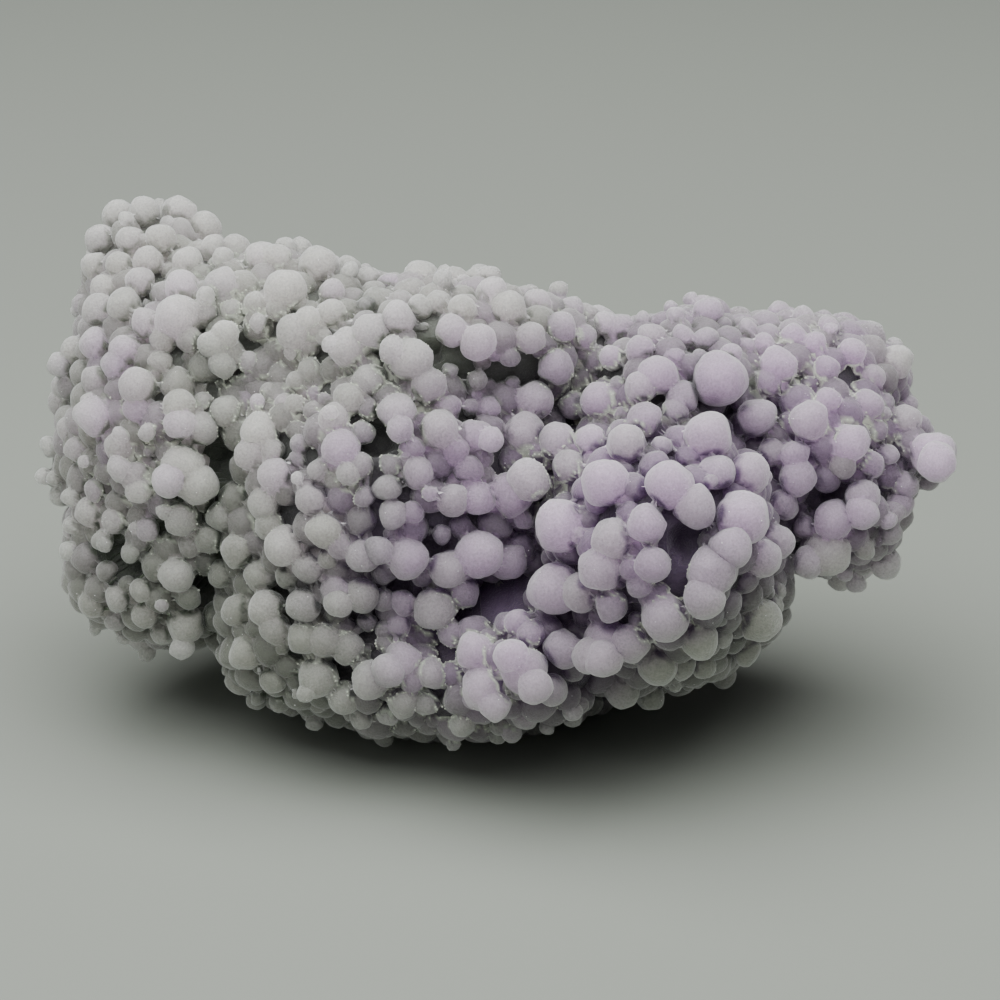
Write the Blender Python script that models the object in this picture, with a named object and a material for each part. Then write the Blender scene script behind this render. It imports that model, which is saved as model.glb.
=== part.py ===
"""A cluster of botryoidal chalcedony: frosted spherules grown into one stone.

The stone is worked out in the view frame of its reference picture, in millimetres: right, up and
away from the eye, with the plane of best focus at zero depth. Rounded lobes give the mass of the
stone, every spherule is seated on them, and the union is one closed faceted solid.
"""

import math

import bmesh
import bpy
import numpy as np

for old_object in list(bpy.data.objects):
    bpy.data.objects.remove(old_object, do_unlink=True)

# Driving dimensions, in millimetres where a name gives no other unit
MM = 0.001
MM_PER_PIXEL = 0.065
VIEW_DISTANCE = 200.0
VIEW_TILT = math.radians(20.0)
VIEW_CENTRE_PIXEL = 500.0
VIEW_AXIS_HEIGHT = 20.2
LOBE_BLEND = 1.1
SEED = 41

# Each lobe: picture place in pixels, depth, then half width, half height and half depth
LOBES = {
    "left wing": (202, 430, 15.5, 9.4, 12.1, 11.5),
    "left shoulder": (155, 285, 18.0, 4.0, 4.9, 7.0),
    "lower left": (170, 562, 13.5, 6.4, 4.8, 7.2),
    "middle": (400, 490, 13.0, 13.5, 12.4, 14.0),
    "crest": (445, 353, 9.0, 10.6, 3.9, 8.0),
    "crest, left": (290, 330, 12.0, 6.5, 4.2, 7.5),
    "saddle": (670, 385, 10.0, 6.0, 3.6, 9.0),
    "little peak": (706, 345, 10.0, 1.5, 1.6, 3.0),
    "front bulge": (655, 540, 5.5, 7.4, 8.2, 12.0),
    "front ridge": (525, 655, 5.0, 4.6, 3.6, 7.0),
    "lower tip": (460, 685, 6.5, 2.4, 2.6, 5.0),
    "lower edge, left": (320, 625, 10.0, 6.6, 5.2, 7.5),
    "lower edge, right": (395, 670, 8.0, 4.2, 3.4, 6.0),
    "belly": (645, 634, 9.0, 5.2, 2.9, 6.6),
    "right wing": (798, 450, 12.5, 6.1, 6.9, 10.0),
    "right shoulder": (800, 378, 13.5, 6.4, 3.5, 8.0),
    "right knob": (915, 455, 9.0, 1.6, 1.5, 3.0),
    "right underside": (845, 515, 10.0, 2.9, 3.1, 6.0),
    "lower right": (745, 597, 9.0, 1.9, 2.4, 5.0),
    "back": (470, 470, 20.0, 19.0, 9.5, 8.5),
    "foot": (470, 652, 18.0, 10.6, 5.9, 8.5),
}

# Each deep gap between the spherules: picture place in pixels, then its radius
GAPS = {
    "heart of the stone": (498, 603, 2.2),
    "heart, left": (455, 620, 1.3),
    "middle slot": (432, 545, 1.1),
    "slot under the dark ball": (400, 584, 1.0),
    "left pocket": (222, 462, 1.3),
    "lower left pocket": (200, 590, 1.6),
    "lower left cleft": (218, 640, 1.5),
    "low slot": (343, 670, 1.0),
    "under the left chain": (288, 592, 0.9),
    "crest slot": (432, 352, 0.9),
    "green pocket": (378, 440, 1.2),
    "right of the pale ball": (650, 452, 1.2),
    "purple pocket": (690, 540, 1.3),
    "pin hole": (636, 610, 0.6),
    "right slot": (833, 495, 1.0),
    "left hollow": (128, 560, 1.4),
}

# Spherules that the picture shows, by region: place and radius in pixels
SPHERULES = {
    "left shoulder": [
        (118, 215, 16), (145, 212, 16), (180, 212, 17), (205, 228, 17), (100, 240, 15), (130, 240, 15),
        (160, 240, 16), (95, 265, 14), (120, 265, 14), (148, 262, 15), (188, 262, 15), (215, 250, 14),
        (235, 250, 16), (262, 258, 18), (222, 285, 18), (183, 288, 18), (140, 282, 16), (105, 290, 16),
        (100, 312, 17), (125, 305, 18), (146, 323, 16), (178, 318, 24), (205, 312, 16), (163, 340, 14),
        (190, 340, 14), (160, 362, 13), (187, 357, 6), (212, 345, 14), (228, 352, 17), (222, 365, 14),
        (225, 335, 15), (207, 297, 10), (232, 310, 11), (257, 305, 13), (95, 345, 16), (125, 350, 16),
        (75, 350, 14), (60, 365, 12), (115, 365, 14), (95, 380, 14),
    ],
    "crest, left": [
        (277, 257, 14), (318, 265, 20), (347, 268, 14), (368, 278, 12), (388, 283, 11), (420, 277, 17),
        (455, 280, 14), (475, 280, 12), (493, 288, 12), (285, 290, 21), (278, 310, 12), (332, 292, 14),
        (332, 313, 15), (367, 305, 9), (295, 333, 19), (308, 318, 13), (325, 338, 10), (330, 345, 9),
        (347, 348, 20), (373, 332, 20), (398, 320, 18), (420, 307, 13), (423, 328, 5), (438, 303, 13),
        (452, 330, 17), (478, 343, 18), (495, 355, 8), (462, 310, 14), (490, 297, 15), (393, 350, 14),
        (412, 360, 22), (428, 385, 18), (370, 380, 17), (290, 352, 8), (310, 350, 10), (310, 370, 12),
        (450, 372, 9), (477, 380, 11),
    ],
    "crest, right": [
        (508, 309, 18), (537, 303, 14), (571, 310, 13), (587, 315, 12), (560, 328, 16), (530, 338, 16),
        (605, 322, 12), (620, 328, 15), (585, 338, 12), (612, 358, 13), (555, 367, 18), (510, 357, 11),
        (512, 383, 8), (652, 337, 14), (640, 350, 15), (675, 358, 10), (683, 337, 13), (708, 313, 15),
        (688, 313, 8), (723, 325, 9), (705, 340, 14), (700, 357, 9), (658, 375, 20), (720, 379, 28),
        (778, 313, 13), (803, 317, 12), (828, 328, 13), (747, 331, 11), (765, 345, 13), (793, 338, 14),
        (815, 345, 13), (852, 352, 15), (895, 362, 18), (873, 377, 13), (742, 358, 7), (778, 366, 20),
        (768, 383, 14), (825, 370, 14),
    ],
    "left wing": [
        (138, 386, 19), (137, 408, 14), (62, 385, 12), (95, 417, 20), (68, 428, 12), (78, 449, 13),
        (50, 447, 10), (45, 475, 10), (120, 447, 16), (150, 451, 7), (160, 442, 7), (180, 406, 17),
        (180, 424, 17), (203, 428, 17), (204, 402, 10), (225, 412, 16), (221, 385, 6), (238, 383, 8),
        (250, 378, 9), (247, 402, 10), (260, 432, 20), (253, 455, 18), (272, 452, 14), (183, 466, 22),
        (168, 480, 17), (156, 467, 6), (198, 485, 20), (120, 468, 14), (135, 475, 15), (140, 490, 14),
        (275, 475, 18), (265, 503, 17), (62, 495, 12), (95, 490, 12), (90, 512, 15), (115, 522, 14),
        (103, 540, 12), (105, 545, 8), (148, 529, 13), (131, 553, 11), (165, 512, 9), (182, 518, 19),
        (221, 517, 15), (210, 538, 16), (190, 544, 13), (238, 549, 18), (270, 525, 14), (284, 546, 20),
    ],
    "middle": [
        (297, 382, 11), (313, 393, 8), (295, 405, 11), (312, 410, 9), (325, 401, 7), (330, 413, 7),
        (335, 420, 17), (350, 400, 16), (370, 408, 12), (398, 413, 20), (400, 428, 14), (363, 432, 12),
        (300, 445, 10), (298, 460, 9), (342, 450, 20), (348, 473, 12), (335, 482, 10), (360, 465, 14),
        (390, 465, 12), (418, 473, 16), (405, 457, 5), (387, 488, 14), (412, 512, 12), (393, 515, 15),
        (366, 497, 12), (392, 533, 9), (455, 451, 16), (481, 458, 12), (468, 470, 15), (452, 500, 17),
        (478, 498, 17), (474, 395, 8), (470, 408, 9), (490, 408, 11), (448, 408, 14), (440, 430, 20),
        (412, 448, 14), (475, 437, 18), (490, 440, 14), (320, 470, 14), (312, 500, 16), (325, 530, 18),
        (340, 545, 14), (533, 402, 20), (525, 432, 21), (557, 442, 20), (545, 450, 22), (573, 405, 15),
        (598, 400, 19), (590, 441, 17), (626, 444, 20), (605, 483, 24), (641, 388, 17), (645, 420, 18),
        (622, 416, 9), (618, 385, 9), (682, 397, 18), (675, 412, 14), (662, 446, 11), (708, 437, 25),
        (670, 485, 24), (695, 508, 22), (717, 473, 18), (512, 494, 23), (528, 480, 22), (560, 525, 27),
        (612, 539, 21), (647, 525, 20), (570, 468, 18), (653, 563, 19),
    ],
    "right wing": [
        (757, 417, 20), (810, 420, 20), (828, 402, 14), (867, 405, 16), (885, 403, 12), (877, 430, 12),
        (905, 420, 16), (932, 453, 22), (937, 462, 20), (850, 443, 20), (870, 465, 14), (843, 465, 14),
        (887, 455, 12), (905, 485, 15), (900, 505, 14), (893, 512, 12), (890, 532, 12), (862, 497, 17),
        (862, 513, 17), (833, 520, 20), (828, 552, 24), (808, 563, 16), (865, 548, 12), (885, 563, 16),
        (772, 453, 14), (795, 455, 16), (797, 478, 20), (748, 475, 22), (783, 505, 16), (805, 527, 12),
        (742, 518, 28), (777, 540, 18),
    ],
    "lower left": [
        (177, 574, 18), (188, 596, 13), (92, 603, 14), (117, 598, 13), (141, 590, 12), (145, 614, 14),
        (116, 621, 11), (182, 648, 13), (186, 625, 19), (164, 632, 13), (222, 574, 14), (260, 576, 16),
        (237, 610, 16), (266, 608, 19), (304, 605, 18), (275, 628, 16), (282, 645, 10), (304, 638, 17),
        (325, 640, 18), (348, 648, 17), (289, 577, 13), (308, 568, 16), (328, 558, 12), (338, 590, 16),
        (338, 604, 15), (361, 595, 18), (384, 600, 12), (246, 654, 17), (238, 682, 12), (258, 697, 9),
        (273, 680, 14), (280, 702, 10), (318, 677, 20), (306, 692, 9), (317, 704, 9), (344, 698, 17),
    ],
    "lower middle": [
        (364, 556, 18), (379, 551, 15), (408, 558, 21), (403, 603, 14), (435, 609, 22), (464, 592, 16),
        (449, 569, 20), (480, 554, 24), (507, 563, 18), (442, 534, 10), (384, 630, 10), (400, 625, 13),
        (368, 622, 10), (385, 645, 11), (370, 681, 20), (388, 670, 17), (402, 660, 19), (413, 681, 14),
        (432, 674, 15), (404, 701, 16), (426, 703, 13), (362, 716, 12), (388, 715, 11), (389, 729, 8),
        (475, 652, 19), (451, 634, 14), (518, 623, 14), (531, 634, 14), (511, 656, 17), (484, 688, 23),
        (495, 706, 16), (525, 670, 24), (551, 690, 16), (535, 687, 18), (563, 649, 20), (588, 655, 18),
        (463, 724, 14), (460, 742, 10), (500, 726, 12), (511, 732, 11), (524, 717, 13), (555, 589, 27),
        (580, 592, 20), (600, 569, 22), (611, 605, 17), (632, 567, 14),
    ],
    "lower right": [
        (731, 549, 21), (712, 571, 26), (704, 598, 21), (665, 618, 24), (607, 641, 23),
        (629, 643, 20), (603, 658, 20), (700, 640, 20), (658, 665, 20), (682, 665, 14), (687, 683, 8),
        (704, 665, 13), (622, 690, 18), (650, 697, 14), (574, 712, 14), (556, 716, 9), (590, 703, 13),
        (760, 620, 23), (746, 651, 15), (762, 558, 20), (722, 636, 11), (640, 585, 14),
        (765, 592, 9),
    ],
}

# How far a spherule's centre stands above the core and above another spherule, in its own radii
SEAT_LIFT = 0.75
STACK_LIFT = 0.15
RAY_NEAR = -26.0
RAY_FAR = 44.0
RAY_STEP = 0.2
SLOPE_STEP = 0.05

# Thrown spherules: tries, least and greatest radius, clearance from the others as a share of both
# radii, lift in radii, and how squarely at most the ground may face the eye
FILL_PASSES = {
    "tall ones of the other sides": (5000, 1.2, 1.65, 0.90, 0.75, -0.35),
    "low ones all over": (14000, 0.95, 1.35, 0.64, 0.0, 1.0),
}
GAP_MARGIN = 0.4
DRAW_ROUNDS = 9
DRAW_SHARE = 0.9
DRAW_TOLERANCE = 0.1

# The faceted solid
SMALLEST_SOLID_RADIUS = 1.0
SPHERULE_DETAIL = 2
CORE_SKIN_DETAIL = 5
CORE_SPINE_SHARE = 0.7
CORE_START_SHARE = 1.3
CORE_LINE_STEPS = 90
VOXEL = 0.5
TARGET_TRIANGLES = 9500


def lengths(vectors):
    """Length of each row."""
    return np.sqrt((vectors ** 2).sum(axis=-1))


def view_point(pixel_x, pixel_y, depth):
    """Place of a picture pixel at a depth, in the view frame."""
    spread = MM_PER_PIXEL * (VIEW_DISTANCE + depth) / VIEW_DISTANCE
    return np.array([
        (pixel_x - VIEW_CENTRE_PIXEL) * spread,
        (VIEW_CENTRE_PIXEL - pixel_y) * spread,
        depth,
    ])


def to_world(points):
    """Turn view-frame points to the frame that has the table level and +Z up."""
    right, up, away = points[:, 0], points[:, 1], points[:, 2]
    cosine, sine = math.cos(VIEW_TILT), math.sin(VIEW_TILT)
    return np.column_stack([
        right,
        away * cosine + up * sine,
        up * cosine - away * sine + VIEW_AXIS_HEIGHT,
    ])


LOBE_CENTRES = np.array([view_point(x, y, depth) for x, y, depth, _, _, _ in LOBES.values()])
LOBE_HALVES = np.array([row[3:] for row in LOBES.values()])


def lobe_distance(points):
    """Distance to the blended lobes: a soft least value of the distances to their ellipsoids."""
    total = np.zeros(len(points))
    for centre, half in zip(LOBE_CENTRES, LOBE_HALVES):
        scaled = (points - centre) / half
        reach = lengths(scaled)
        slope = lengths(scaled / half)
        distance = reach * (reach - 1.0) / np.maximum(slope, 1e-6)
        total += np.exp(-np.clip(distance, -30.0, 60.0) / LOBE_BLEND)
    return -LOBE_BLEND * np.log(total)


def ray_points(pixels_x, pixels_y):
    """Points along the line of sight of each pixel, from near to far: rays by steps by 3."""
    depths = np.arange(RAY_NEAR, RAY_FAR, RAY_STEP)
    spread = MM_PER_PIXEL * (VIEW_DISTANCE + depths) / VIEW_DISTANCE
    right = (np.asarray(pixels_x, float)[:, None] - VIEW_CENTRE_PIXEL) * spread
    up = (VIEW_CENTRE_PIXEL - np.asarray(pixels_y, float)[:, None]) * spread
    away = np.broadcast_to(depths, right.shape)
    return np.stack([right, up, away], axis=-1)


def first_seat(levels):
    """Index of the first step at or inside the surface, or of the nearest pass beside it."""
    inside = np.flatnonzero(levels <= 0.0)
    return int(inside[0]) if len(inside) else int(np.argmin(levels))


def gap_balls():
    """Centres and radii of the deep gaps, each centred on the surface of the lobes."""
    rows = np.array(list(GAPS.values()))
    rays = ray_points(rows[:, 0], rows[:, 1])
    levels = lobe_distance(rays.reshape(-1, 3)).reshape(rays.shape[:2])
    centres = np.array([ray[first_seat(level)] for ray, level in zip(rays, levels)])
    return centres, rows[:, 2]


GAP_CENTRES, GAP_RADII = gap_balls()


def core_distance(points):
    """Distance to the lobes with the deep gaps carved out of them."""
    distance = lobe_distance(points)
    for centre, radius in zip(GAP_CENTRES, GAP_RADII):
        distance = np.maximum(distance, radius - lengths(points - centre))
    return distance


def outward(points):
    """Unit direction in which the distance to the core grows fastest."""
    step = SLOPE_STEP
    slope = np.column_stack([
        core_distance(points + step * axis) - core_distance(points - step * axis)
        for axis in np.eye(3)
    ])
    return slope / np.maximum(lengths(slope), 1e-9)[:, None]


def seat_pictured():
    """Seat every pictured spherule along its line of sight, the large ones first.

    A spherule stands on the core, or on one that does, so that none is more than two high.
    """
    rows = np.array([row for group in SPHERULES.values() for row in group], float)
    rows = rows[np.argsort(-rows[:, 2], kind="stable")]
    rays = ray_points(rows[:, 0], rows[:, 1])
    core = core_distance(rays.reshape(-1, 3)).reshape(rays.shape[:2])
    centres = np.zeros((len(rows), 3))
    radii = np.zeros(len(rows))
    ground = np.zeros(len(rows), bool)
    for index, (ray, level) in enumerate(zip(rays, core)):
        radius = rows[index, 2] * MM_PER_PIXEL
        seat = first_seat(level - SEAT_LIFT * radius)
        if ground.any():
            apart = lengths(ray[:, None, :] - centres[None, ground]) - radii[ground]
            on_others = first_seat(np.minimum(
                level - SEAT_LIFT * radius,
                apart.min(axis=1) - STACK_LIFT * radius,
            ))
            ground[index] = on_others == seat
            seat = on_others
        else:
            ground[index] = True
        centres[index] = ray[seat]
        radii[index] = radius * (VIEW_DISTANCE + ray[seat, 2]) / VIEW_DISTANCE
    return centres, radii


def surface_points(count, random):
    """Random points of the box around the lobes, drawn onto the surface of the core."""
    low = (LOBE_CENTRES - LOBE_HALVES).min(axis=0)
    high = (LOBE_CENTRES + LOBE_HALVES).max(axis=0)
    points = low + (high - low) * random.random((count, 3))
    for _ in range(DRAW_ROUNDS):
        points = points - core_distance(points)[:, None] * outward(points) * DRAW_SHARE
    return points[np.abs(core_distance(points)) < DRAW_TOLERANCE]


def throw_spherules(centres, radii, random):
    """Throw spherules onto the bare ground, each clear of the gaps and of the others."""
    count = len(radii)
    room = count + sum(row[0] for row in FILL_PASSES.values())
    all_centres, all_radii = np.zeros((room, 3)), np.zeros(room)
    all_centres[:count], all_radii[:count] = centres, radii
    for tries, least, greatest, clearance, lift, facing_limit in FILL_PASSES.values():
        points = surface_points(tries, random)
        normals = outward(points)
        sizes = least + (greatest - least) * random.random(len(points))
        usable = -normals[:, 2] < facing_limit
        for point, normal, radius in zip(points[usable], normals[usable], sizes[usable]):
            centre = point + normal * lift * radius
            reach = clearance * (all_radii[:count] + radius)
            free = (lengths(all_centres[:count] - centre) > reach).all()
            outside_gaps = (lengths(GAP_CENTRES - point) > GAP_RADII + GAP_MARGIN * radius).all()
            if free and outside_gaps:
                all_centres[count], all_radii[count] = centre, radius
                count += 1
    return all_centres[:count], all_radii[:count]


def joined_mesh(name, centres, radii, detail):
    """One mesh of round balls, which may overlap."""
    bm = bmesh.new()
    bmesh.ops.create_icosphere(bm, subdivisions=detail, radius=1.0)
    unit = np.array([vertex.co[:] for vertex in bm.verts])
    faces = np.array([[vertex.index for vertex in face.verts] for face in bm.faces])
    bm.free()
    vertices = (unit[None] * radii[:, None, None] + centres[:, None]).reshape(-1, 3)
    shifted = faces[None] + (np.arange(len(radii)) * len(unit))[:, None, None]
    mesh = bpy.data.meshes.new(name)
    mesh.from_pydata((to_world(vertices) * MM).tolist(), [], shifted.reshape(-1, 3).tolist())
    return mesh


def core_mesh(name):
    """The core as a closed skin: a ball's vertices drawn in along rays to its long axis."""
    bm = bmesh.new()
    bmesh.ops.create_icosphere(bm, subdivisions=CORE_SKIN_DETAIL, radius=1.0)
    low = (LOBE_CENTRES - LOBE_HALVES).min(axis=0)
    high = (LOBE_CENTRES + LOBE_HALVES).max(axis=0)
    middle, half = (low + high) / 2, (high - low) / 2
    unit = np.array([vertex.co[:] for vertex in bm.verts])
    spine = middle + np.column_stack([unit[:, 0] * half[0] * CORE_SPINE_SHARE, np.zeros((len(unit), 2))])
    start = middle + unit * half * CORE_START_SHARE
    shares = np.linspace(0.0, 1.0, CORE_LINE_STEPS)
    lines = start[:, None] + (spine - start)[:, None] * shares[None, :, None]
    levels = core_distance(lines.reshape(-1, 3)).reshape(lines.shape[:2])
    seats = np.array([first_seat(level) for level in levels])
    skin = to_world(lines[np.arange(len(seats)), seats]) * MM
    for vertex, place in zip(bm.verts, skin):
        vertex.co = place
    mesh = bpy.data.meshes.new(name)
    bm.to_mesh(mesh)
    bm.free()
    return mesh


def evaluated(mesh_object):
    """A new mesh of the object as its modifiers leave it."""
    bpy.context.view_layer.update()
    graph = bpy.context.evaluated_depsgraph_get()
    return bpy.data.meshes.new_from_object(mesh_object.evaluated_get(graph))


def keep_outer_skin(bm):
    """Delete every closed skin but the widest, which is the outside of the stone."""
    bm.verts.ensure_lookup_table()
    unseen = set(bm.verts)
    islands = []
    while unseen:
        stack = [unseen.pop()]
        island = []
        while stack:
            vertex = stack.pop()
            island.append(vertex)
            for edge in vertex.link_edges:
                other = edge.other_vert(vertex)
                if other in unseen:
                    unseen.remove(other)
                    stack.append(other)
        islands.append(island)
    islands.sort(key=len)
    for island in islands[:-1]:
        bmesh.ops.delete(bm, geom=island, context="VERTS")


def cut_flat(bm):
    """Cut the stone level with the table and close the cut."""
    geometry = bm.verts[:] + bm.edges[:] + bm.faces[:]
    bmesh.ops.bisect_plane(bm, geom=geometry, plane_co=(0, 0, 0), plane_no=(0, 0, 1), clear_inner=True)
    rim = [edge for edge in bm.edges if edge.is_boundary]
    bmesh.ops.holes_fill(bm, edges=rim, sides=0)
    bmesh.ops.triangulate(bm, faces=bm.faces[:])
    keep_outer_skin(bm)


def stone_material():
    """Frosted lavender chalcedony."""
    material = bpy.data.materials.new("frosted_chalcedony")
    material.use_nodes = True
    shader = material.node_tree.nodes["Principled BSDF"]
    shader.inputs["Base Color"].default_value = (0.42, 0.38, 0.46, 1.0)
    shader.inputs["Roughness"].default_value = 0.6
    shader.inputs["Metallic"].default_value = 0.0
    return material


def build_stone():
    """The whole stone as one closed solid."""
    random = np.random.default_rng(SEED)
    centres, radii = seat_pictured()
    centres, radii = throw_spherules(centres, radii, random)
    above_table = to_world(centres)[:, 2] > 0.0
    shown = (radii >= SMALLEST_SOLID_RADIUS) & above_table

    bm = bmesh.new()
    bm.from_mesh(joined_mesh("spherules", centres[shown], radii[shown], SPHERULE_DETAIL))
    bm.from_mesh(core_mesh("core"))
    mesh = bpy.data.meshes.new("union")
    bm.to_mesh(mesh)
    bm.free()

    stone = bpy.data.objects.new("chalcedony_cluster", mesh)
    bpy.context.collection.objects.link(stone)
    remesh = stone.modifiers.new("fuse", "REMESH")
    remesh.mode = "VOXEL"
    remesh.voxel_size = VOXEL * MM
    fused = evaluated(stone)
    bm = bmesh.new()
    bm.from_mesh(fused)
    keep_outer_skin(bm)
    bmesh.ops.triangulate(bm, faces=bm.faces[:])
    bm.to_mesh(fused)
    bm.free()
    stone.modifiers.clear()
    stone.data = fused

    decimate = stone.modifiers.new("facets", "DECIMATE")
    decimate.ratio = TARGET_TRIANGLES / len(fused.polygons)
    faceted = evaluated(stone)
    stone.modifiers.clear()
    bm = bmesh.new()
    bm.from_mesh(faceted)
    cut_flat(bm)
    corners = np.array([vertex.co[:] for vertex in bm.verts])
    middle = (corners.min(axis=0) + corners.max(axis=0)) / 2
    bmesh.ops.translate(bm, verts=bm.verts[:], vec=(-middle[0], -middle[1], 0.0))
    bm.to_mesh(faceted)
    bm.free()
    stone.data = faceted
    faceted.materials.clear()
    faceted.materials.append(stone_material())
    return stone


build_stone()
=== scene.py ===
import math

import bpy
import numpy as np
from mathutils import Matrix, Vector


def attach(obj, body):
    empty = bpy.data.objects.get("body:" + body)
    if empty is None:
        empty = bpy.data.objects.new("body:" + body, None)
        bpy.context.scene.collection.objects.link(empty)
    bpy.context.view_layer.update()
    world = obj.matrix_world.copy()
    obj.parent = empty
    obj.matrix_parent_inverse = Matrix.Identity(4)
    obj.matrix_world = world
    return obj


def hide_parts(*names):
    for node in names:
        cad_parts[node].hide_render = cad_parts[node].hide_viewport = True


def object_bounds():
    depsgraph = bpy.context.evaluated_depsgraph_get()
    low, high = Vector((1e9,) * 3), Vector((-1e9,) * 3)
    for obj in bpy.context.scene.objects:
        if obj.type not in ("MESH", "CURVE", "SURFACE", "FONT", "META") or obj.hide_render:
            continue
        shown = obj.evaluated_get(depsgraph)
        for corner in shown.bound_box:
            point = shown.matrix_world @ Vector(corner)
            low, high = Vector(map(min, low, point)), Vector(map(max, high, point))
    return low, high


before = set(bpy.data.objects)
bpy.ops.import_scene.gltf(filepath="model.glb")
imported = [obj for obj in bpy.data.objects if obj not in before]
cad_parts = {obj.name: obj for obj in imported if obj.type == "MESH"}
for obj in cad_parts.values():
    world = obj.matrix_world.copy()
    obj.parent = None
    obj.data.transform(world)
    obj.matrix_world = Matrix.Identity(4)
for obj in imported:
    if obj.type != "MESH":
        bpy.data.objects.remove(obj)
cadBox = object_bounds()
nodeName = "chalcedony_cluster"
mm = 0.001  # lengths below are in millimetres, and meshes are written in metres

# The view frame: right, up and away from the eye, with the plane of best focus at depth zero
pictureView = {
    "mmPerPixel": 0.065,
    "distance": 200.0,
    "tiltDegrees": 20.0,
    "centrePixel": 500.0,
    "axisHeight": 20.2,
}

# Rounded lobes of the stone: picture place, depth, half width, half height, half depth
massLobes = {
    "left wing": (202, 430, 15.5, 9.4, 12.1, 11.5),
    "left shoulder": (155, 285, 18.0, 4.0, 4.9, 7.0),
    "lower left": (170, 562, 13.5, 6.4, 4.8, 7.2),
    "middle": (400, 490, 13.0, 13.5, 12.4, 14.0),
    "crest": (445, 353, 9.0, 10.6, 3.9, 8.0),
    "crest, left": (290, 330, 12.0, 6.5, 4.2, 7.5),
    "saddle": (670, 385, 10.0, 6.0, 3.6, 9.0),
    "little peak": (706, 345, 10.0, 1.5, 1.6, 3.0),
    "front bulge": (655, 540, 5.5, 7.4, 8.2, 12.0),
    "front ridge": (525, 655, 5.0, 4.6, 3.6, 7.0),
    "lower tip": (460, 685, 6.5, 2.4, 2.6, 5.0),
    "lower edge, left": (320, 625, 10.0, 6.6, 5.2, 7.5),
    "lower edge, right": (395, 670, 8.0, 4.2, 3.4, 6.0),
    "belly": (645, 634, 9.0, 5.2, 2.9, 6.6),
    "right wing": (798, 450, 12.5, 6.1, 6.9, 10.0),
    "right shoulder": (800, 378, 13.5, 6.4, 3.5, 8.0),
    "right knob": (915, 455, 9.0, 1.6, 1.5, 3.0),
    "right underside": (845, 515, 10.0, 2.9, 3.1, 6.0),
    "lower right": (745, 597, 9.0, 1.9, 2.4, 5.0),
    "back": (470, 470, 20.0, 19.0, 9.5, 8.5),
    "foot": (470, 652, 18.0, 10.6, 5.9, 8.5),
}
lobeBlend = 1.1

# Deep gaps between the spherules: picture place and radius
deepGaps = {
    "heart of the stone": (498, 603, 2.2),
    "heart, left": (455, 620, 1.3),
    "middle slot": (432, 545, 1.1),
    "slot under the dark ball": (400, 584, 1.0),
    "left pocket": (222, 462, 1.3),
    "lower left pocket": (200, 590, 1.6),
    "lower left cleft": (218, 640, 1.5),
    "low slot": (343, 670, 1.0),
    "under the left chain": (288, 592, 0.9),
    "crest slot": (432, 352, 0.9),
    "green pocket": (378, 440, 1.2),
    "right of the pale ball": (650, 452, 1.2),
    "purple pocket": (690, 540, 1.3),
    "pin hole": (636, 610, 0.6),
    "right slot": (833, 495, 1.0),
    "left hollow": (128, 560, 1.4),
}

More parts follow.
